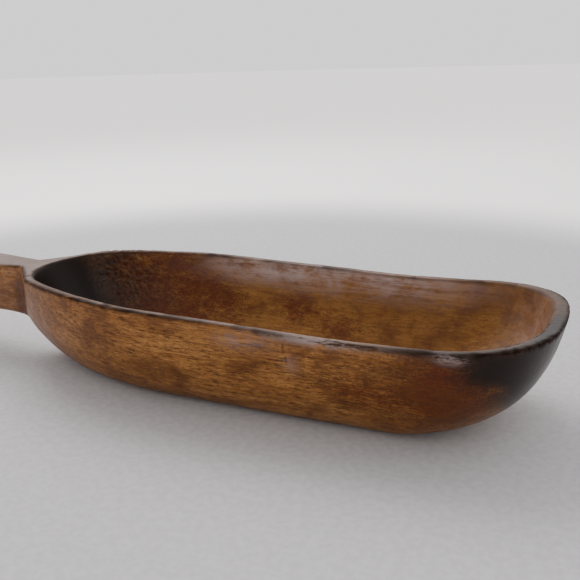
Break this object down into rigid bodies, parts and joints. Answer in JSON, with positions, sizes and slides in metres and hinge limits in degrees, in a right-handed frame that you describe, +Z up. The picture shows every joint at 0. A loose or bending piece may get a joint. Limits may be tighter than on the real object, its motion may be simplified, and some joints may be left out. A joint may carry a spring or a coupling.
{
  "type": "feed scoop",
  "caption": "Long carved wooden scoop with a deep boat-shaped bowl, a flat foot and a short solid handle at its heel.",
  "frame": {"origin": "on the flat foot that the bowl rests on, on the scoop's middle line, 8 mm behind the start of the bowl's straight sides", "axes": "+X along the scoop from the handle to the tip, +Y to the left, +Z up out of the open bowl"},
  "size_m": [0.4298, 0.1202, 0.0592],
  "materials": {
    "bowl_wood": "stained hardwood, worn satin",
    "handle_wood": "stained hardwood, worn satin"
  },
  "bodies": {
    "root": {"bowl": "bowl_wood", "handle": "handle_wood"}
  },
  "joints": []
}
